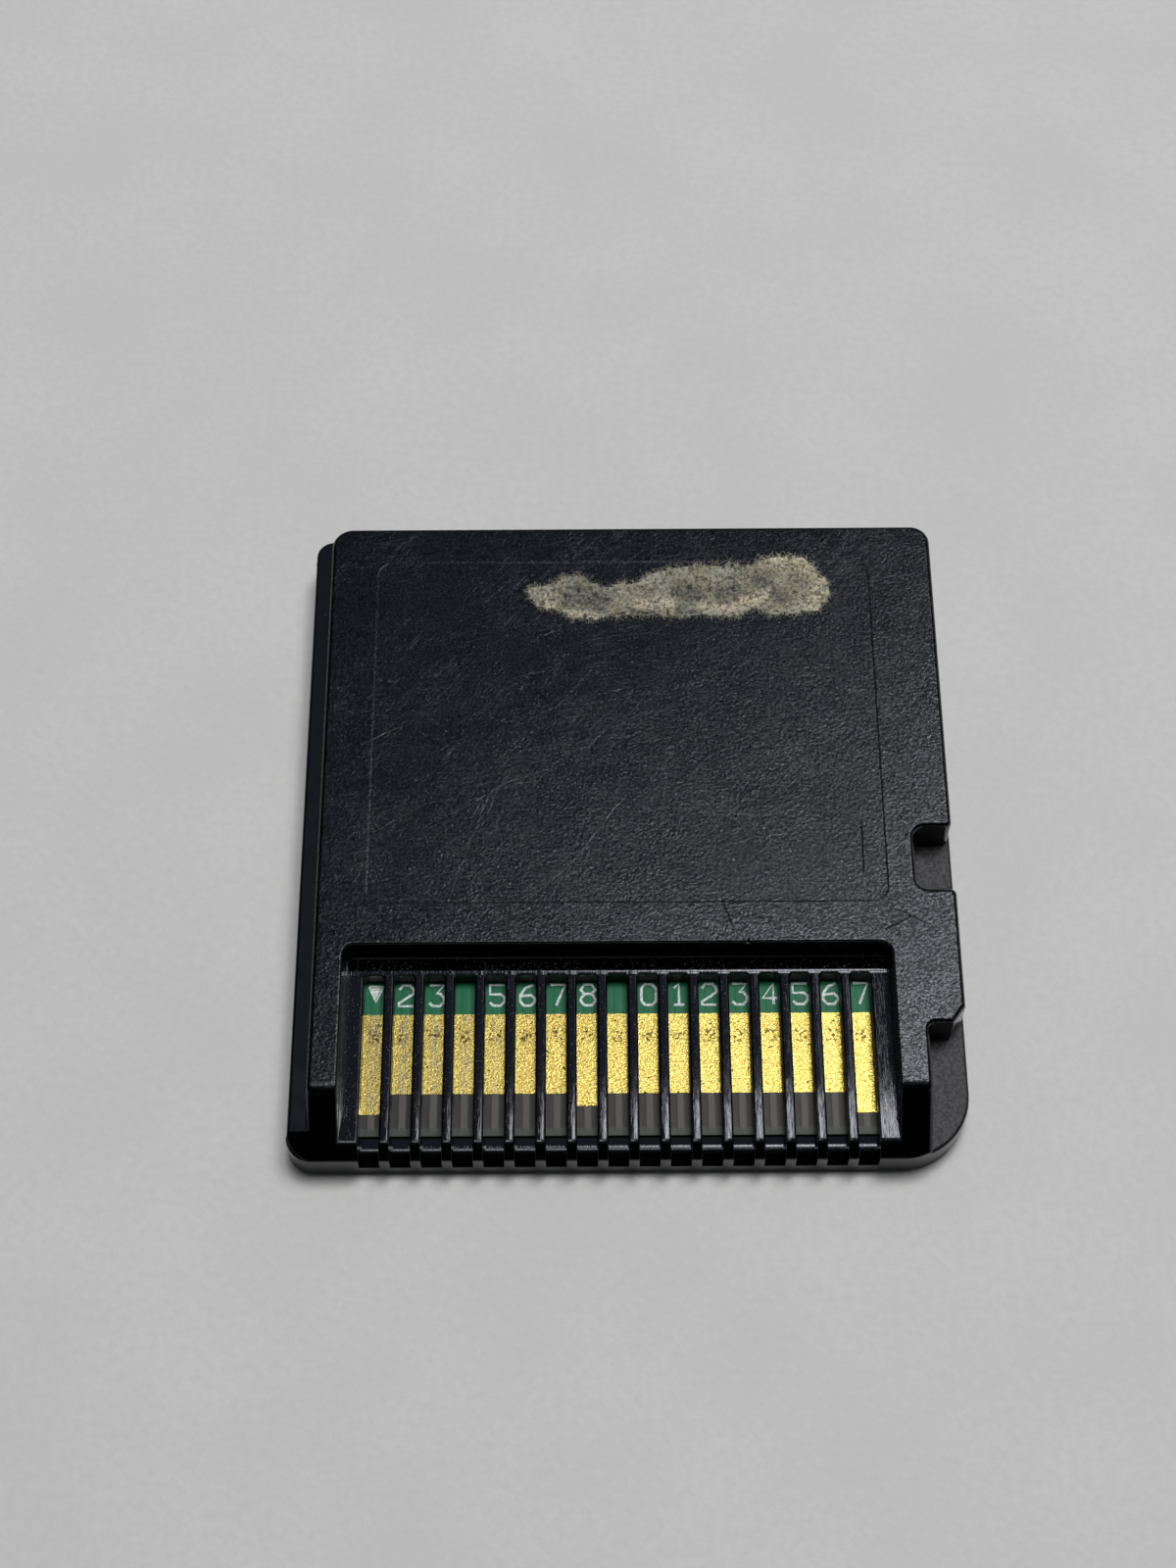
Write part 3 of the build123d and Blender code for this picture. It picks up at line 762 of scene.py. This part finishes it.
# Paths in a box that is 1 wide and 1 high. The mark v is the triangle.
STROKES = {
    "0": [[(0, 0.2), (0, 0.8), (0.25, 1), (0.75, 1), (1, 0.8), (1, 0.2), (0.75, 0), (0.25, 0), (0, 0.2)]],
    "1": [[(0.15, 0.8), (0.5, 1), (0.5, 0)], [(0.15, 0), (0.85, 0)]],
    "2": [[(0, 0.8), (0.25, 1), (0.75, 1), (1, 0.8), (1, 0.6), (0, 0.15), (0, 0), (1, 0)]],
    "3": [[(0, 1), (1, 1), (0.5, 0.6), (0.75, 0.6), (1, 0.4), (1, 0.2), (0.75, 0), (0.25, 0), (0, 0.15)]],
    "4": [[(0.75, 0), (0.75, 1), (0, 0.3), (1, 0.3)]],
    "5": [[(1, 1), (0, 1), (0, 0.55), (0.75, 0.55), (1, 0.4), (1, 0.2), (0.75, 0), (0.25, 0), (0, 0.15)]],
    "6": [
        [(0.9, 1), (0.35, 0.85), (0, 0.5), (0, 0.2), (0.25, 0), (0.75, 0), (1, 0.2), (1, 0.35),
         (0.75, 0.5), (0, 0.45)],
    ],
    "7": [[(0, 1), (1, 1), (0.4, 0)]],
    "8": [
        [(0.25, 0.55), (0, 0.75), (0.25, 1), (0.75, 1), (1, 0.75), (0.75, 0.55), (0.25, 0.55)],
        [(0.25, 0.55), (0, 0.3), (0, 0.2), (0.25, 0), (0.75, 0), (1, 0.2), (1, 0.3), (0.75, 0.55)],
    ],
    "v": [
        [(0, 0.95), (1, 0.95), (0.5, 0.2), (0, 0.95)],
        [(0.22, 0.84), (0.78, 0.84), (0.5, 0.42), (0.22, 0.84)],
        [(0.4, 0.74), (0.6, 0.74), (0.5, 0.6), (0.4, 0.74)],
    ],
}
MARKS = "v23 5678 01234567"
INK_WEAR_PER_MM = 9.0
INK_DEPTH = 0.004
INK_WORN = (0.4, 0.45, 0.43, 1)
INK_FRESH = (0.8, 0.83, 0.81, 1)


def printing_ink():
    finish = Finish("printing_ink")
    worn = finish.noise(INK_WEAR_PER_MM, 3)
    colour = finish.blend(finish.ramp(worn, 0.35, 0.65), INK_WORN, INK_FRESH)
    finish.set(base_color=colour, roughness=0.55, normal=finish.bump(worn, INK_DEPTH))
    return finish.material


def mark_paths():
    """All strokes of all marks, as one curve object on the plane z = 0."""
    curve = bpy.data.curves.new("mark_paths", "CURVE")
    curve.dimensions = "3D"
    first = ROW_MIDDLE - PITCH * (len(MARKS) - 1) / 2 + MARK_SHIFT - MARK_WIDTH / 2
    for number, mark in enumerate(MARKS):
        for stroke in STROKES.get(mark, []):
            spline = curve.splines.new("POLY")
            spline.points.add(len(stroke) - 1)
            for point, (right, up) in zip(spline.points, stroke):
                x = first + number * PITCH + right * MARK_WIDTH
                y = MARK_FOOT + up * MARK_HEIGHT
                point.co = (x * MM, y * MM, 0, 1)
    return add_object("mark_paths", curve)


def stroke_recipe(name, material, line, thickness, level):
    """Runs a round profile along every path, presses it to a thickness and lifts it to a level."""
    recipe = Recipe(name, material, line=line, thickness=thickness, level=level)
    size = recipe.entry
    radius = recipe.math("MULTIPLY", size["line"], 0.5)
    profile = recipe.add("GeometryNodeCurvePrimitiveCircle", PROFILE_SIDES, radius)
    tubes = recipe.add("GeometryNodeCurveToMesh", size["Geometry"], profile, None, CLOSED_ENDS)
    press = recipe.math("DIVIDE", size["thickness"], size["line"])
    flat = recipe.add("ShaderNodeCombineXYZ", 1.0, 1.0, press)
    lift = recipe.upright(size["level"])
    recipe.close(recipe.add("GeometryNodeTransform", tubes, lift, None, flat))
    return recipe


ink_strokes = stroke_recipe("ink_strokes", printing_ink(), INK_LINE, INK_THICKNESS, BOARD_TOP * MM)
ink = ink_strokes.grow(mark_paths(), "printed_marks")
print("printed marks:", len(MARKS.replace(" ", "")), "with", len(ink.data.polygons), "faces")

# %% [markdown]
# A sticker tore off and left its paper backing near the far end: cream where it is thick, grey where it is
# thin and the dark plastic shows through. The thick and the thin places are broad strokes, so the scratch
# group draws them too, and fine noise breaks all of it up into felt.

# %% Sticker paper
THIN_STROKES = (
    ((-3.3, 13.4), (-0.4, 12.8), 1.3),
    ((-2.0, 14.3), (-0.6, 13.7), 0.5),
    ((2.3, 13.5), (4.5, 13.4), 0.9),
    ((4.9, 13.1), (6.2, 13.8), 0.8),
    ((6.7, 14.2), (7.8, 13.6), 0.7),
    ((7.6, 13.2), (8.7, 12.6), 0.5),
    ((0.4, 12.1), (2.0, 11.9), 0.4),
    ((2.6, 12.3), (4.2, 12.0), 0.5),
)
RICH_STROKES = (
    ((9.8, 12.0), (10.7, 14.6), 1.0),
    ((7.2, 15.6), (10.2, 14.8), 0.9),
    ((6.1, 12.7), (8.0, 13.1), 0.6),
    ((0.5, 12.7), (2.9, 12.6), 0.5),
    ((3.9, 12.6), (6.2, 12.4), 0.5),
    ((-4.2, 13.4), (-3.5, 12.3), 0.45),
    ((-3.4, 12.0), (-1.2, 11.9), 0.5),
)
FELT_PER_MM = 8.0
FELT_DEPTH = 0.03
STAINS_PER_MM = 0.8
PAPER_STAINED = (0.38, 0.345, 0.25, 1)
PAPER_PALE = (0.46, 0.44, 0.36, 1)
PAPER_RICH = (0.72, 0.65, 0.48, 1)
PAPER_THIN = (0.13, 0.13, 0.125, 1)
FELT_SHADE = (0.09, 0.085, 0.075, 1)
FELT_SHADE_SHARE = 0.68


def sticker_paper():
    finish = Finish("sticker_paper")
    felt = finish.noise(FELT_PER_MM, 3)
    stain = finish.ramp(finish.noise(STAINS_PER_MM, 3), 0.4, 0.6)
    body = finish.blend(stain, PAPER_STAINED, PAPER_PALE)
    rich = finish.times(scratches(finish, RICH_STROKES), finish.ramp(felt, 0.25, 0.6, 0.4, 1.0))
    body = finish.blend(rich, body, PAPER_RICH)
    thin = finish.times(scratches(finish, THIN_STROKES), finish.ramp(felt, 0.4, 0.75, 1.0, 0.3))
    body = finish.blend(thin, body, PAPER_THIN)
    shade = finish.ramp(felt, 0.55, 0.38, 0.0, FELT_SHADE_SHARE)
    finish.set(
        base_color=finish.blend(shade, body, FELT_SHADE),
        roughness=0.9,
        specular_ior_level=0.2,
        normal=finish.bump(felt, FELT_DEPTH),
    )
    return finish.material


paper = sticker_paper()
print("paper strokes:", len(THIN_STROKES), "thin and", len(RICH_STROKES), "rich")

# %% [markdown]
# Up close the residue is a thin sheet with a frayed outline and gaps where paper came away. It could be
# drawn by hand, point by point. It is cut from the residue's own solid instead: a grid point belongs to the
# sheet when a ray from below meets the solid there and noise leaves no gap. So the sheet keeps the outline
# that the model has.

# %% Torn sheet
SHEET_STEP = 0.085 * MM
PAPER_THICKNESS = 0.012 * MM
FRAY = 0.2 * MM
FRAYS_PER_MM = 3.5
GAPS_PER_MM = 3.2
FINE_GAPS_PER_MM = 7.5
FINE_GAP_SHARE = 0.7
GAP_LEVEL = 0.46
SHEET_LIFT = 0.03
CURL = 0.015
CURLS_PER_MM = 3.0
SWAY_SHARE = 0.3
SWAYS_PER_MM = 9.0
SHEET_SEED = 1795825640
UPWARDS = Vector((0, 0, 1))


def under_paper(y):
    """Height of the plastic that the paper lies on."""
    return (BACK_FACE if y > INSERT_FAR * MM else INSERT_FLOOR) * MM


def sheet_corner(spot, solid):
    """Place of the sheet's corner over a grid point, or None where there is no paper."""
    fray = noise.noise_vector(spot * FRAYS_PER_MM / MM) * FRAY
    gap = noise.noise(spot * GAPS_PER_MM / MM)
    gap += FINE_GAP_SHARE * noise.noise(spot * FINE_GAPS_PER_MM / MM)
    if gap >= GAP_LEVEL or not solid.ray_cast(spot + fray, UPWARDS)[0]:
        return None
    lift = SHEET_LIFT + CURL * noise.noise(spot * CURLS_PER_MM / MM)
    sway = noise.noise_vector(spot * SWAYS_PER_MM / MM) * SWAY_SHARE * SHEET_STEP
    return Vector((spot.x + sway.x, spot.y + sway.y, under_paper(spot.y) + lift * MM))


def sheet_faces(builder):
    """Fills the builder with the sheet's grid, without the corners that belong to no face."""
    source = nodes["sticker_residue"].data
    solid = BVHTree.FromPolygons([v.co for v in source.vertices], [p.vertices for p in source.polygons])
    low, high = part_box("sticker_residue")
    corners = {}
    for column in range(int((high.x - low.x) / SHEET_STEP) + 1):
        for row in range(int((high.y - low.y) / SHEET_STEP) + 1):
            spot = Vector((low.x + column * SHEET_STEP, low.y + row * SHEET_STEP, 0))
            corner = sheet_corner(spot, solid)
            if corner:
                corners[column, row] = builder.verts.new(corner)
    for column, row in corners:
        keys = ((column, row), (column + 1, row), (column + 1, row + 1), (column, row + 1))
        ring = [corners.get(key) for key in keys]
        if all(ring):
            builder.faces.new(ring)
    loose = [corner for corner in builder.verts if not corner.link_faces]
    bmesh.ops.delete(builder, geom=loose, context="VERTS")


def torn_sheet():
    """The sheet as a mesh with a thickness, and the middle and outward direction of each rim edge."""
    # Without a seed of its own, noise_vector starts from the clock and tears each run in another way.
    noise.seed_set(SHEET_SEED)
    builder = bmesh.new()
    sheet_faces(builder)
    rim = []
    for edge in builder.edges:
        if edge.is_boundary:
            middle = (edge.verts[0].co + edge.verts[1].co) / 2
            rim.append((middle, middle - edge.link_faces[0].calc_center_median()))
    bmesh.ops.solidify(builder, geom=builder.faces[:], thickness=PAPER_THICKNESS)
    mesh = bpy.data.meshes.new("torn_sheet")
    builder.to_mesh(mesh)
    builder.free()
    return mesh, rim


sheet_mesh, sheet_rim = torn_sheet()
print("sheet faces:", len(sheet_mesh.polygons), "rim edges:", len(sheet_rim))

# %% [markdown]
# Torn paper is a felt of fibres. Hair particles could cover it, but they are no mesh, and the export keeps
# meshes only. So a Geometry Nodes tree scatters bent, three-sided fibres over the sheet's upper faces. A
# fringe of single fibres reaches out over the rim, and a few longer wisps lean over the far edge.

# %% Felt and fringe
FIBRE = 0.018
FIBRES_PER_M2 = 1.1e8
FELT_SEED = 5
FELT_LENGTHS = (0.3, 0.9)
FELT_LIFT = 0.008 * MM
FIBRE_SIDES = 3
FIBRE_SEGMENTS = 3
FIBRE_START = (-0.5 * MM, 0, 0)
FIBRE_MIDDLE = (0, 0.16 * MM, 0.01 * MM)
FIBRE_END = (0.5 * MM, 0, 0)
FRINGE_LINE = 0.7 * FIBRE * MM
FRINGE_SEED = 11
FRINGE_CHANCE = 0.6
FRINGE_REACH = (0.1, 0.4)
FRINGE_ROOT = 0.2
FRINGE_HEIGHT = (0.02, 0.05)
FRINGE_BEND = 0.8
MIDDLE_BEND = 0.3
# Place of each wisp, and how far its fibres lean to the right.
WISPS = (
    (-2.3, 14.1, 2.5),
    (1.6, 14.1, -2.0),
    (4.7, 14.9, 0.2),
    (5.3, 15.0, 0.4),
    (7.6, 15.3, -0.2),
    (9.3, 15.1, 0.8),
)
WISP_FIBRES = 8
WISP_SPREAD = 0.35
WISP_DEPTH = (-0.2, 0.1)
WISP_FAN = 0.6
WISP_REACH = (0.25, 0.7)


def felt_recipe(material):
    shortest, longest = FELT_LENGTHS
    recipe = Recipe(
        "paper_felt", material, density=FIBRES_PER_M2, seed=FELT_SEED,
        shortest=shortest, longest=longest, width=FIBRE, lift=FELT_LIFT,
    )
    size = recipe.entry
    bend = (FIBRE_START, FIBRE_MIDDLE, FIBRE_END)
    path = recipe.add("GeometryNodeCurveQuadraticBezier", FIBRE_SEGMENTS, *bend)
    radius = recipe.math("MULTIPLY", size["width"], 0.5 * MM)
    profile = recipe.add("GeometryNodeCurvePrimitiveCircle", FIBRE_SIDES, radius)
    fibre = recipe.add("GeometryNodeCurveToMesh", path, profile, None, CLOSED_ENDS)
    facing = recipe.add("ShaderNodeSeparateXYZ", recipe.add("GeometryNodeInputNormal"), output=2)
    upper = recipe.add("FunctionNodeCompare", facing, 0.5, operation="GREATER_THAN")
    length = recipe.random(size["shortest"], size["longest"])
    fibres = recipe.scatter(upper, fibre, recipe.add("ShaderNodeCombineXYZ", length, 1.0, 1.0))
    lift = recipe.upright(size["lift"])
    raised = recipe.add("GeometryNodeTranslateInstances", fibres, None, lift)
    both = recipe.node("GeometryNodeJoinGeometry")
    for part in (size["Geometry"], raised):
        recipe.feed(both.inputs[0], part)
    recipe.close(both.outputs[0])
    return recipe


def fringe_roots(rim, draw):
    """Where each fibre starts, which way it points and how far it reaches in mm."""
    roots = [(spot, out, draw.uniform(*FRINGE_REACH)) for spot, out in rim if draw.random() < FRINGE_CHANCE]
    for x, y, lean in WISPS:
        for _ in range(WISP_FIBRES):
            spot = Vector((x + draw.gauss(0, WISP_SPREAD), y + draw.uniform(*WISP_DEPTH), 0)) * MM
            out = Vector((lean + draw.uniform(-WISP_FAN, WISP_FAN), 1, 0))
            roots.append((spot, out, draw.uniform(*WISP_REACH)))
    return roots


def fringe_paths(rim):
    """Short bent paths that reach out over the sheet's rim, and wisps of longer ones."""
    draw = random.Random(FRINGE_SEED)
    curve = bpy.data.curves.new("fringe_paths", "CURVE")
    curve.dimensions = "3D"
    for spot, out, reach in fringe_roots(rim, draw):
        out = Vector((out.x, out.y, 0)).normalized()
        side = Vector((-out.y, out.x, 0)) * draw.uniform(-FRINGE_BEND, FRINGE_BEND)
        root = spot - out * FRINGE_ROOT * MM
        middle = spot + (out + side * MIDDLE_BEND) * 0.5 * reach * MM
        tip = spot + (out + side) * reach * MM
        places = (root, middle, tip)
        spline = curve.splines.new("POLY")
        spline.points.add(len(places) - 1)
        for point, place in zip(spline.points, places):
            height = under_paper(place.y) + draw.uniform(*FRINGE_HEIGHT) * MM
            point.co = (place.x, place.y, height, 1)
    return add_object("fringe_paths", curve)


residue = felt_recipe(paper).grow(add_object("torn_sheet", sheet_mesh), "residue_felt")
fringe = stroke_recipe("paper_fringe", paper, FRINGE_LINE, FRINGE_LINE, 0.0)
fringe = fringe.grow(fringe_paths(sheet_rim), "residue_fringe")
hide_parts("sticker_residue")
print("residue faces:", len(residue.data.polygons), "fringe faces:", len(fringe.data.polygons))

# %% [markdown]
# Dust settles where fingers do not reach: on the ledge behind the slots, on the rib tops and on the guide
# step. Speckles in a material would lie flat, and real grains catch the light. So one tree scatters
# flattened grains over plain patches that lie on those faces.

# %% Dust
COMB_NEAR = -16.3
RIB_COUNT = 16
FIRST_RIB = ROW_MIDDLE - PITCH * (RIB_COUNT - 1) / 2
RIB_DUST = 0.15
# Each patch gives its left, near, right and far edge and its height in mm.
LEDGE_PATCH = (-13.85, SLOT_START, 12.85, -7.1, LEDGE)
LEFT_BANK = (-13.85, COMB_NEAR, -13.1, SLOT_START, LEDGE)
RIGHT_BANK = (12.1, COMB_NEAR, 12.85, SLOT_START, LEDGE)
RIBS = [FIRST_RIB + PITCH * number for number in range(RIB_COUNT)]
RIB_PATCHES = [(rib - RIB_DUST, COMB_NEAR, rib + RIB_DUST, SLOT_START, LEDGE) for rib in RIBS]
STEP_PATCH = (-16.2, -16.0, -15.6, 16.5, 2.55)
PANEL_PATCH = (-12.8, -4.7, 12.8, 11.0, INSERT_FLOOR)
BORDER_PATCH = (-15.0, -6.7, 14.0, -5.0, BACK_FACE)
DUST_SEED = 3
# Grains per square millimetre, and the smallest and the largest radius in mm.
RECESS_GRAINS = (16.0, 0.008, 0.02)
OPEN_GRAINS = (0.4, 0.01, 0.025)
GRAIN_SHAPE = (1.0, 1.4, 0.5)
DUST_SHADES_PER_MM = 20.0
DUST_DARK = (0.05, 0.05, 0.055, 1)
DUST_LIGHT = (0.3, 0.3, 0.3, 1)


def dust_grain():
    finish = Finish("dust")
    shade = finish.noise(DUST_SHADES_PER_MM, 1)
    finish.set(base_color=finish.blend(shade, DUST_DARK, DUST_LIGHT), roughness=0.9)
    return finish.material


def patch_object(patches):
    """All patches as one source object."""
    mesh = bpy.data.meshes.new("dust_patches")
    corners = []
    for left, near, right, far, up in patches:
        for x, y in ((left, near), (right, near), (right, far), (left, far)):
            corners.append((x * MM, y * MM, up * MM))
    faces = [list(range(first, first + 4)) for first in range(0, len(corners), 4)]
    mesh.from_pydata(corners, [], faces)
    return add_object("dust_patches", mesh)


def dust_recipe(material, per_mm2, smallest, largest):
    recipe = Recipe(
        "dust_scatter", material, density=per_mm2 / MM**2, seed=DUST_SEED,
        smallest=smallest * MM, largest=largest * MM,
    )
    size = recipe.entry
    grain = recipe.add("GeometryNodeMeshIcoSphere", 1.0, 1)
    breadth = recipe.random(size["smallest"], size["largest"])
    recipe.close(recipe.scatter(None, grain, recipe.vector("SCALE", GRAIN_SHAPE, breadth)))
    return recipe


dust = dust_grain()
recess_source = patch_object([LEDGE_PATCH, LEFT_BANK, RIGHT_BANK, *RIB_PATCHES])
recess_dust = dust_recipe(dust, *RECESS_GRAINS).grow(recess_source, "recess_dust")
open_source = patch_object([STEP_PATCH, PANEL_PATCH, BORDER_PATCH])
open_dust = dust_recipe(dust, *OPEN_GRAINS).grow(open_source, "open_dust")
print("dust faces:", len(recess_dust.data.polygons), len(open_dust.data.polygons))

# %% [markdown]
# The parts inside never show, but whoever opens the shells finds them finished too: matte epoxy, a brushed
# can, dark lenses, and ceramic bodies between tinned ends. The ends could be pieces of their own. They are
# told apart by place instead, because each part is one solid.

# %% Finishes inside
# Solids, dark and light tone, tones per mm and shader values of each plain finish.
CHIPS = ("memory_chip", "infrared_chip", "save_chip")
PLAIN_FINISHES = {
    "chip_epoxy": (CHIPS, (0.008, 0.008, 0.009, 1), (0.02, 0.02, 0.022, 1), 10.0, (0.0, 0.6)),
    "can_metal": (("oscillator",), (0.45, 0.45, 0.46, 1), (0.6, 0.6, 0.61, 1), 6.0, (1.0, 0.3)),
    "lens_plastic": (
        ("infrared_transceiver",), (0.004, 0.002, 0.006, 1), (0.008, 0.004, 0.01, 1), 2.0, (0.0, 0.12)
    ),
}
CERAMICS = {
    "capacitor": ((0.3, 0.2, 0.11, 1), (0.38, 0.27, 0.16, 1)),
    "resistor": ((0.012, 0.012, 0.014, 1), (0.02, 0.02, 0.022, 1)),
}
PARTS_OF_A_KIND = 4
CERAMIC_PER_MM = 8.0
TIN = (0.6, 0.6, 0.58, 1)
TIN_FROM = 0.55
TIN_FULL = 0.6
TIN_ROUGHNESS = (0.3, 0.5)
SKIN_DEPTH = 0.01


def plain_finish(name, dark, light, per_mm, metallic, roughness):
    finish = Finish(name)
    tone = finish.noise(per_mm, 3)
    finish.set(
        base_color=finish.blend(tone, dark, light),
        metallic=metallic,
        roughness=roughness,
        normal=finish.bump(tone, SKIN_DEPTH),
    )
    return finish.material


def tinned_part(kind, name, dark, light):
    """Ceramic body whose two ends are tin, told apart by the distance from the part's middle."""
    low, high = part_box(name)
    axis = 0 if high.x - low.x > high.y - low.y else 1
    middle = (low[axis] + high[axis]) / 2 / MM
    half = (high[axis] - low[axis]) / 2 / MM
    finish = Finish(kind + "_ceramic_" + name)
    along = finish.math("SUBTRACT", finish.split(finish.place)[axis], middle)
    tin = finish.ramp(finish.math("ABSOLUTE", along), TIN_FROM * half, TIN_FULL * half)
    speckle = finish.noise(CERAMIC_PER_MM, 2)
    finish.set(
        base_color=finish.blend(tin, finish.blend(speckle, dark, light), TIN),
        metallic=tin,
        roughness=finish.ramp(speckle, *NOISE_SPAN, *TIN_ROUGHNESS),
        normal=finish.bump(speckle, SKIN_DEPTH),
    )
    return finish.material


for name, (solids, dark, light, per_mm, gloss) in PLAIN_FINISHES.items():
    coat(plain_finish(name, dark, light, per_mm, *gloss), *solids)
for number in range(1, PARTS_OF_A_KIND + 1):
    for kind, tones in CERAMICS.items():
        part = "%s_%d" % (kind, number)
        coat(tinned_part(kind, part, *tones), part)
print("plain finishes:", len(PLAIN_FINISHES), "tinned parts:", PARTS_OF_A_KIND * len(CERAMICS))
